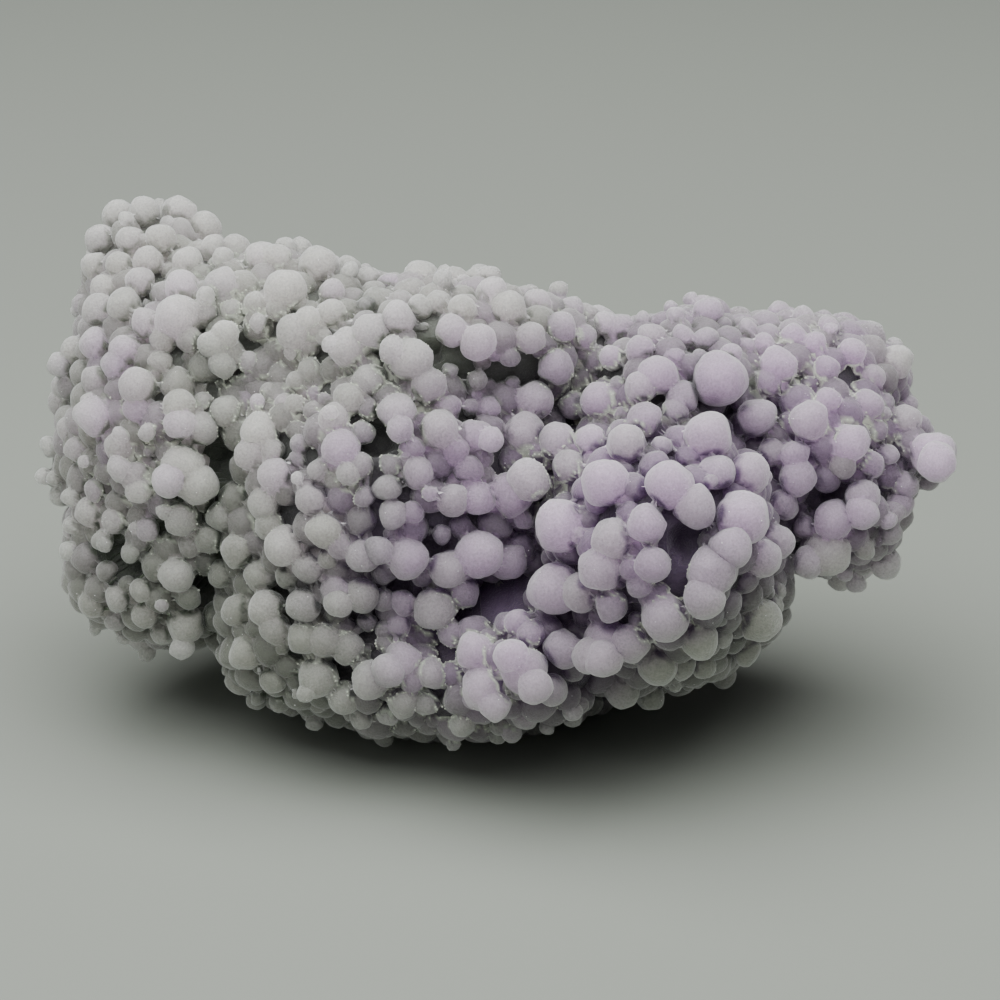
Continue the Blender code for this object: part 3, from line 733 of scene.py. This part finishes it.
tints = np.random.default_rng(skinLook["tintSeed"]).normal(size=len(radii))
standings = coreDistance(centres)
core, coreFaces = coreSkin(*coreLook["grid"], coreLook["depth"])
edgesOfSlabs = np.quantile(centres[:, 0], np.linspace(0, 1, skinLook["slabs"] + 1))
edgesOfSlabs[[0, -1]] = (-math.inf, math.inf)
slabSkins = []
for number in range(skinLook["slabs"]):
    slab = edgesOfSlabs[number:number + 2]
    inside = (centres[:, 0] >= slab[0]) & (centres[:, 0] < slab[1])
    points, faces = fusedSkin(centres[inside], radii[inside], core, coreFaces, slab)
    points = drawOntoSpherules(points, centres[inside], radii[inside])
    normals = cornerNormals(points, faces)
    slabSkins.append((points, faces, normals, opennessOf(points, normals, centres, radii)))
    print("slab", number + 1, "fused:", len(faces), "triangles")

groundPoints, groundFaces = coreSkin(*coreLook["groundGrid"], 0.0)
groundNormals = cornerNormals(groundPoints, groundFaces)
slabSkins.append((groundPoints, groundFaces, groundNormals, opennessOf(
    groundPoints, groundNormals, centres, radii)))
print("ground drawn:", len(groundFaces), "triangles")


# Lasting unevenness: a slow warp of all three places, and a grain along the normal
def unevenPlaces(points, normals):
    warpRandom = np.random.default_rng(skinLook["warpSeed"])
    warp = np.column_stack([waves(points, skinLook["warpLength"], warpRandom) for _ in range(3)])
    grain = waves(points, skinLook["grainLength"], warpRandom, skinLook["grainWaves"])
    return settled(points + warp * skinLook["warp"] + normals * (grain * skinLook["grain"])[:, None])


slabPlaces = [unevenPlaces(points, normals) for points, _, normals, _ in slabSkins]
low = np.min([places.min(axis=0) for places in slabPlaces], axis=0)
high = np.max([places.max(axis=0) for places in slabPlaces], axis=0)
boxMiddle = np.array([(cadBox[0][axis] + cadBox[1][axis]) / 2 / mm for axis in range(3)])
centring = (boxMiddle - (low + high) / 2) * (1, 1, 0)
print("centring by", centring.round(2), "skin size", (high - low).round(1))

slabObjects = []
for number, (places, (points, faces, normals, openness)) in enumerate(zip(slabPlaces, slabSkins)):
    isGround = number == skinLook["slabs"]
    name = "chalcedony_ground" if isGround else "chalcedony_skin_" + str(number + 1)
    mesh = arrayMesh(name, (places + centring) * mm, faces)
    mesh.shade_smooth()
    mesh.set_sharp_from_angle(angle=math.radians(skinLook["creaseDegrees"]))
    nearest = nearestSpherules(points, centres, radii, skinLook["tintReach"])[1][:, 0]
    # Openness and standing drive the painted shade; the ground, at the lowest standing, is painted wholly
    # dark
    lowest = np.full(len(points), skinLook["groundStanding"])
    setAttribute(mesh, "openness", openness)
    setAttribute(mesh, "standing", lowest if isGround else standings[nearest])
    setAttribute(mesh, "tint", tints[nearest])
    setAttribute(mesh, "crust", crustStrength(points, openness) * (0.0 if isGround else 1.0))
    for zone in colourPatches:
        setAttribute(mesh, zone, patchStrength(points, colourPatches[zone]))
    skin = bpy.data.objects.new(name, mesh)
    bpy.context.collection.objects.link(skin)
    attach(skin, "root")
    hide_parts(nodeName)
    slabObjects.append(skin)

# The stone's look. Colours are linear. Pairs are ranges, from low to high: "shades" are factors on
# the colour, "exposed" is the openness and "high" the standing over which the gaps' painted
# shade gives way
stoneLook = {
    "cream": (0.56, 0.545, 0.50, 1.0),
    "lavender": (0.465, 0.335, 0.495, 1.0),
    # Darker green-grey of the lower edge: the stone's own tone, partly painted shade
    "greenGrey": (0.27, 0.285, 0.235, 1.0),
    # Painted shade for creases, the ground and deeper spherules: dark colours, partly the crevices' own
    # green and violet hue
    "gapShadeGreen": (0.030, 0.042, 0.024, 1.0),
    "gapShadeViolet": (0.075, 0.040, 0.098, 1.0),
    "gapShadePale": (0.17, 0.18, 0.15, 1.0),
    "crust": (0.58, 0.615, 0.52, 1.0),
    # Painted highlight: the colour each ball whitens to at its rim as seen
    "rimHighlight": (0.82, 0.81, 0.83, 1.0),
    # Painted shade: factor on the colour where a ball faces the eye
    "depth": (0.87, 0.85, 0.87, 1.0),
    "tintShare": 0.26,
    "tintRange": (-2.0, 2.0),
    "tintShades": (0.78, 1.10),
    "mottleScale": 300.0,
    "mottleShades": (0.92, 1.06),
    "sugarScale": 6500.0,
    "sugarShades": (0.78, 1.20),
    "noiseRange": (0.3, 0.7),
    "limbBlend": 0.35,
    "limbReach": 0.75,
    "rimPower": 3.0,
    "rimShare": 0.9,
    "exposed": (0.03, 0.55),
    "high": (-0.7, 0.95),
    "roughness": 0.6,
    "roughnessSwing": 0.15,
    "ior": 1.54,
    "subsurface": 1.0,
    "subsurfaceRadius": (1.0, 0.9, 1.0),
    "subsurfaceScale": 16.0 * mm,
    "sheen": 0.25,
    "sheenRoughness": 0.4,
    "bumpStrength": 0.8,
    "bumpDistance": 0.16 * mm,
}


# A node with its settings and links in one call
def addNode(tree, kind, inputs=None, **settings):
    node = tree.nodes.new(kind)
    for name, value in settings.items():
        setattr(node, name, value)
    for name, value in (inputs or {}).items():
        if isinstance(value, bpy.types.NodeSocket):
            tree.links.new(value, node.inputs[name])
        else:
            node.inputs[name].default_value = value
    return node


# A mix of two colours by a factor
def mixColours(tree, factor, first, second, blend="MIX"):
    node = tree.nodes.new("ShaderNodeMix")
    node.data_type = "RGBA"
    node.blend_type = blend
    for socket, value in ((node.inputs[0], factor), (node.inputs[6], first), (node.inputs[7], second)):
        if isinstance(value, bpy.types.NodeSocket):
            tree.links.new(value, socket)
        else:
            socket.default_value = value
    return node.outputs[2]


# One of the piece's own attributes as a number
def readAttribute(tree, name):
    return addNode(tree, "ShaderNodeAttribute", attribute_name=name).outputs["Fac"]


# A number moved from one range to another, and held within it
def mapRange(tree, value, source, target):
    return addNode(tree, "ShaderNodeMapRange", {
        "Value": value,
        "From Min": source[0],
        "From Max": source[1],
        "To Min": target[0],
        "To Max": target[1],
    }).outputs["Result"]


# A colour multiplied by a number
def scaledColour(tree, colour, factor):
    grey = addNode(tree, "ShaderNodeCombineColor", {"Red": factor, "Green": factor, "Blue": factor})
    return mixColours(tree, 1.0, colour, grey.outputs["Color"], "MULTIPLY")


# Frosted chalcedony: the zones' colours times the shades of ball, mottle and sugar, darkened by
# painted shade where each ball faces the eye, whitened by a painted highlight at the rim's power of
# the limb, and mixed with the painted shade of the gaps by exposed times high
def stoneMaterial():
    material = bpy.data.materials.new("frostedChalcedony")
    material.use_nodes = True
    tree = material.node_tree
    shader = tree.nodes["Principled BSDF"]
    place = addNode(tree, "ShaderNodeTexCoord").outputs["Object"]
    mottle = addNode(tree, "ShaderNodeTexNoise", {
        "Vector": place, "Scale": stoneLook["mottleScale"], "Detail": 3.0, "Roughness": 0.6,
    }).outputs["Fac"]
    sugar = addNode(tree, "ShaderNodeTexNoise", {
        "Vector": place, "Scale": stoneLook["sugarScale"], "Detail": 2.0, "Roughness": 0.6,
    }).outputs["Fac"]

    tint = readAttribute(tree, "tint")
    lilac = addNode(tree, "ShaderNodeMath", {
        0: tint, 1: stoneLook["tintShare"], 2: readAttribute(tree, "lavender"),
    }, operation="MULTIPLY_ADD", use_clamp=True).outputs[0]
    body = mixColours(tree, lilac, stoneLook["cream"], stoneLook["lavender"])
    # Grey-green towards the bottom: own tone, partly painted shade
    body = mixColours(tree, readAttribute(tree, "greenGrey"), body, stoneLook["greenGrey"])
    noiseRange = stoneLook["noiseRange"]
    body = scaledColour(tree, body, mapRange(tree, tint, stoneLook["tintRange"], stoneLook["tintShades"]))
    body = scaledColour(tree, body, mapRange(tree, mottle, noiseRange, stoneLook["mottleShades"]))
    body = scaledColour(tree, body, mapRange(tree, sugar, noiseRange, stoneLook["sugarShades"]))
    limb = addNode(tree, "ShaderNodeLayerWeight", {"Blend": stoneLook["limbBlend"]}).outputs["Facing"]
    # Painted shade: each ball darker where it faces the eye, fading out towards its limb
    centreShade = mapRange(tree, limb, (0.0, stoneLook["limbReach"]), (1.0, 0.0))
    body = mixColours(tree, centreShade, body, stoneLook["depth"], "MULTIPLY")
    # Painted highlight: each ball whitened towards its rim as seen from the eye
    rim = addNode(tree, "ShaderNodeMath", {
        0: limb, 1: stoneLook["rimPower"],
    }, operation="POWER").outputs[0]
    rimHighlightShare = mapRange(tree, rim, (0.0, 1.0), (0.0, stoneLook["rimShare"]))
    body = mixColours(tree, rimHighlightShare, body, stoneLook["rimHighlight"])

    # Painted shade: creases, the ground and low-standing balls take a dark green, violet or pale colour,
    # partly the crevices' own hue
    violet, pale = readAttribute(tree, "violetGapShade"), readAttribute(tree, "paleGapShade")
    gap = mixColours(tree, violet, stoneLook["gapShadeGreen"], stoneLook["gapShadeViolet"])
    gap = mixColours(tree, pale, gap, stoneLook["gapShadePale"])
    exposed = mapRange(tree, readAttribute(tree, "openness"), stoneLook["exposed"], (0.0, 1.0))
    high = mapRange(tree, readAttribute(tree, "standing"), stoneLook["high"], (0.0, 1.0))
    shown = addNode(tree, "ShaderNodeMath", {0: exposed, 1: high}, operation="MULTIPLY").outputs[0]
    body = mixColours(tree, shown, gap, body)
    body = mixColours(tree, readAttribute(tree, "crust"), body, stoneLook["crust"])
    tree.links.new(body, shader.inputs["Base Color"])

    roughness, swing = stoneLook["roughness"], stoneLook["roughnessSwing"]
    rough = mapRange(tree, sugar, noiseRange, (roughness - swing, roughness + swing))
    tree.links.new(rough, shader.inputs["Roughness"])
    bump = addNode(tree, "ShaderNodeBump", {
        "Height": sugar, "Strength": stoneLook["bumpStrength"], "Distance": stoneLook["bumpDistance"],
    })
    tree.links.new(bump.outputs["Normal"], shader.inputs["Normal"])
    shader.inputs["IOR"].default_value = stoneLook["ior"]
    shader.inputs["Subsurface Weight"].default_value = stoneLook["subsurface"]
    shader.inputs["Subsurface Radius"].default_value = stoneLook["subsurfaceRadius"]
    shader.inputs["Subsurface Scale"].default_value = stoneLook["subsurfaceScale"]
    shader.inputs["Sheen Weight"].default_value = stoneLook["sheen"]
    shader.inputs["Sheen Roughness"].default_value = stoneLook["sheenRoughness"]
    return material


stone = stoneMaterial()
for skin in slabObjects:
    skin.data.materials.append(stone)
print("stone material made")

# Drusy crystals: tiny six-sided points in the crust, and bright ones here and there on the balls.
# The column's foot, shoulder and tip are heights in radii
crystalLook = {
    "seed": 23,
    "crustCount": 6400,
    "sparkCount": 900,
    "crustWidth": (0.03, 0.075),
    "sparkWidth": (0.02, 0.04),
    "lean": 0.8,
    "crustColour": (0.66, 0.69, 0.60, 1.0),
    "sparkColour": (0.90, 0.90, 0.92, 1.0),
    "roughness": 0.28,
    "ior": 1.54,
    "foot": -1.0,
    "shoulder": 0.35,
    "tip": 1.25,
    "leastHeight": 0.6,
    "leastStanding": -0.05,
    "leastCrust": 0.25,
    "sparkOpenness": 0.4,
}


# One crystal: a six-sided column from below the skin, corners on a circle, closed by a point
def crystalShape():
    turn = np.arange(6) * math.pi / 3
    ring = np.column_stack([np.cos(turn), np.sin(turn)])
    corners = np.vstack([
        np.column_stack([ring, np.full(6, crystalLook["foot"])]),
        np.column_stack([ring, np.full(6, crystalLook["shoulder"])]),
        [[0, 0, crystalLook["foot"]], [0, 0, crystalLook["tip"]]],
    ])
    near = np.arange(6)
    far = (near + 1) % 6
    return corners, np.vstack([
        np.column_stack([near, far, far + 6]),
        np.column_stack([near, far + 6, near + 6]),
        np.column_stack([far, near, np.full(6, 12)]),
        np.column_stack([near + 6, far + 6, np.full(6, 13)]),
    ])


# Two directions square to each given one: cross products with the least aligned axis
def squareDirections(ahead):
    helper = np.eye(3)[np.abs(ahead).argmin(axis=1)]
    first = np.cross(ahead, helper)
    first /= lengths(first)[:, None]
    return first, np.cross(ahead, first)


# Crystals at chosen corners of the skins as one mesh, each pointing along the normal plus the lean
# times a random direction
def crystalPiece(name, places, normals, widths, colour):
    ahead = normals + crystalLook["lean"] * crystalRandom.normal(size=normals.shape)
    ahead /= lengths(ahead)[:, None]
    first, second = squareDirections(ahead)
    shape, faces = crystalShape()
    turned = first[:, None] * shape[None, :, :1] + second[:, None] * shape[None, :, 1:2]
    turned += ahead[:, None] * shape[None, :, 2:]
    corners = (places[:, None] + turned * widths[:, None, None]).reshape(-1, 3)
    triangles = (faces[None] + (np.arange(len(places)) * len(shape))[:, None, None]).reshape(-1, 3)
    mesh = arrayMesh(name, (corners + centring) * mm, triangles)
    material = bpy.data.materials.new(name + "Look")
    material.use_nodes = True
    shader = material.node_tree.nodes["Principled BSDF"]
    shader.inputs["Base Color"].default_value = colour
    shader.inputs["Roughness"].default_value = crystalLook["roughness"]
    shader.inputs["IOR"].default_value = crystalLook["ior"]
    mesh.materials.append(material)
    piece = bpy.data.objects.new(name, mesh)
    bpy.context.collection.objects.link(piece)
    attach(piece, "root")
    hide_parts(nodeName)
    print(name, len(triangles), "triangles")


ballSkins = slabSkins[:-1]
allPoints = np.vstack([points for points, _, _, _ in ballSkins])
allPlaces = np.vstack(slabPlaces[:-1])
allNormals = np.vstack([normals for _, _, normals, _ in ballSkins])
allOpenness = np.concatenate([openness for _, _, _, openness in ballSkins])
worldNormals = toWorld(allNormals) - (0, 0, pictureView["axisHeight"])
crystalRandom = np.random.default_rng(crystalLook["seed"])
allHeights = coreDistance(allPoints)
usable = (allPlaces[:, 2] > crystalLook["leastHeight"]) & (allHeights > crystalLook["leastStanding"])


# Corners drawn by lot, with the given weights
def drawnCorners(weights, count):
    return crystalRandom.choice(len(weights), count, replace=False, p=weights / weights.sum())


# Random widths between two limits: the least plus the range times a squared draw
def widthsWithin(limits, count):
    return limits[0] + (limits[1] - limits[0]) * crystalRandom.random(count) ** 2


crustThere = crustStrength(allPoints, allOpenness) - crystalLook["leastCrust"]
chosen = drawnCorners(usable * np.clip(crustThere, 0, None), crystalLook["crustCount"])
widths = widthsWithin(crystalLook["crustWidth"], len(chosen))
crystalPiece("drusy_crust", allPlaces[chosen], worldNormals[chosen], widths, crystalLook["crustColour"])
sparkWeights = usable * (allOpenness > crystalLook["sparkOpenness"]) * 1.0
chosen = drawnCorners(sparkWeights, crystalLook["sparkCount"])
widths = widthsWithin(crystalLook["sparkWidth"], len(chosen))
crystalPiece("crystal_sparks", allPlaces[chosen], worldNormals[chosen], widths, crystalLook["sparkColour"])

# Floor, light and camera, in metres and watts, and the sensor in the lens's millimetres
stageLook = {
    "floorColour": (0.235, 0.255, 0.225, 1.0),
    "floorRoughness": 0.8,
    "floorHalf": 1.2,
    "worldColour": (0.80, 0.84, 0.80, 1.0),
    "worldStrength": 0.05,
    "softboxSize": 0.75,
    "softboxPlace": (-0.04, -0.08, 0.50),
    "softboxPower": 8.4,
    "fillSize": 0.35,
    "fillPlace": (-0.20, -0.38, 0.24),
    "fillPower": 0.5,
    "aimPoint": (0.0, 0.0, 0.015),
    "sensorWidth": 36.0,
    "picturePixels": 1000,
    "clipStart": 0.01,
    "clipEnd": 10.0,
}


# A plain floor: a flat square under the stone
def makeFloor():
    half = stageLook["floorHalf"]
    corners = np.array([[-half, -half, 0], [half, -half, 0], [half, half, 0], [-half, half, 0]])
    mesh = arrayMesh("floor", corners, np.array([[0, 1, 2], [0, 2, 3]]))
    material = bpy.data.materials.new("paleFloor")
    material.use_nodes = True
    shader = material.node_tree.nodes["Principled BSDF"]
    shader.inputs["Base Color"].default_value = stageLook["floorColour"]
    shader.inputs["Roughness"].default_value = stageLook["floorRoughness"]
    mesh.materials.append(material)
    floor = bpy.data.objects.new("floor", mesh)
    bpy.context.collection.objects.link(floor)


# A square area light that faces the middle of the stone
def makeLight(name, place, size, power):
    light = bpy.data.lights.new(name, "AREA")
    light.size = size
    light.energy = power
    holder = bpy.data.objects.new(name, light)
    holder.location = place
    aim = Vector(stageLook["aimPoint"]) - Vector(place)
    holder.rotation_euler = aim.to_track_quat("-Z", "Y").to_euler()
    bpy.context.collection.objects.link(holder)


# The eye of the picture: straight back along the view axis, its lens the sensor times the distance
# over the picture's width
def makeCamera():
    data = bpy.data.cameras.new("camera")
    data.sensor_width = stageLook["sensorWidth"]
    width = stageLook["picturePixels"] * pictureView["mmPerPixel"]
    data.lens = data.sensor_width * pictureView["distance"] / width
    data.clip_start = stageLook["clipStart"]
    data.clip_end = stageLook["clipEnd"]
    camera = bpy.data.objects.new("camera", data)
    eye = toWorld(np.array([[0.0, 0.0, -pictureView["distance"]]]))[0] + centring
    camera.location = eye * mm
    camera.rotation_euler = (math.radians(90 - pictureView["tiltDegrees"]), 0, 0)
    bpy.context.collection.objects.link(camera)
    bpy.context.scene.camera = camera


makeFloor()
makeLight("softbox", stageLook["softboxPlace"], stageLook["softboxSize"], stageLook["softboxPower"])
makeLight("fill", stageLook["fillPlace"], stageLook["fillSize"], stageLook["fillPower"])
world = bpy.data.worlds.new("studio")
world.use_nodes = True
world.node_tree.nodes["Background"].inputs["Color"].default_value = stageLook["worldColour"]
world.node_tree.nodes["Background"].inputs["Strength"].default_value = stageLook["worldStrength"]
bpy.context.scene.world = world
makeCamera()
print("stage and camera set")
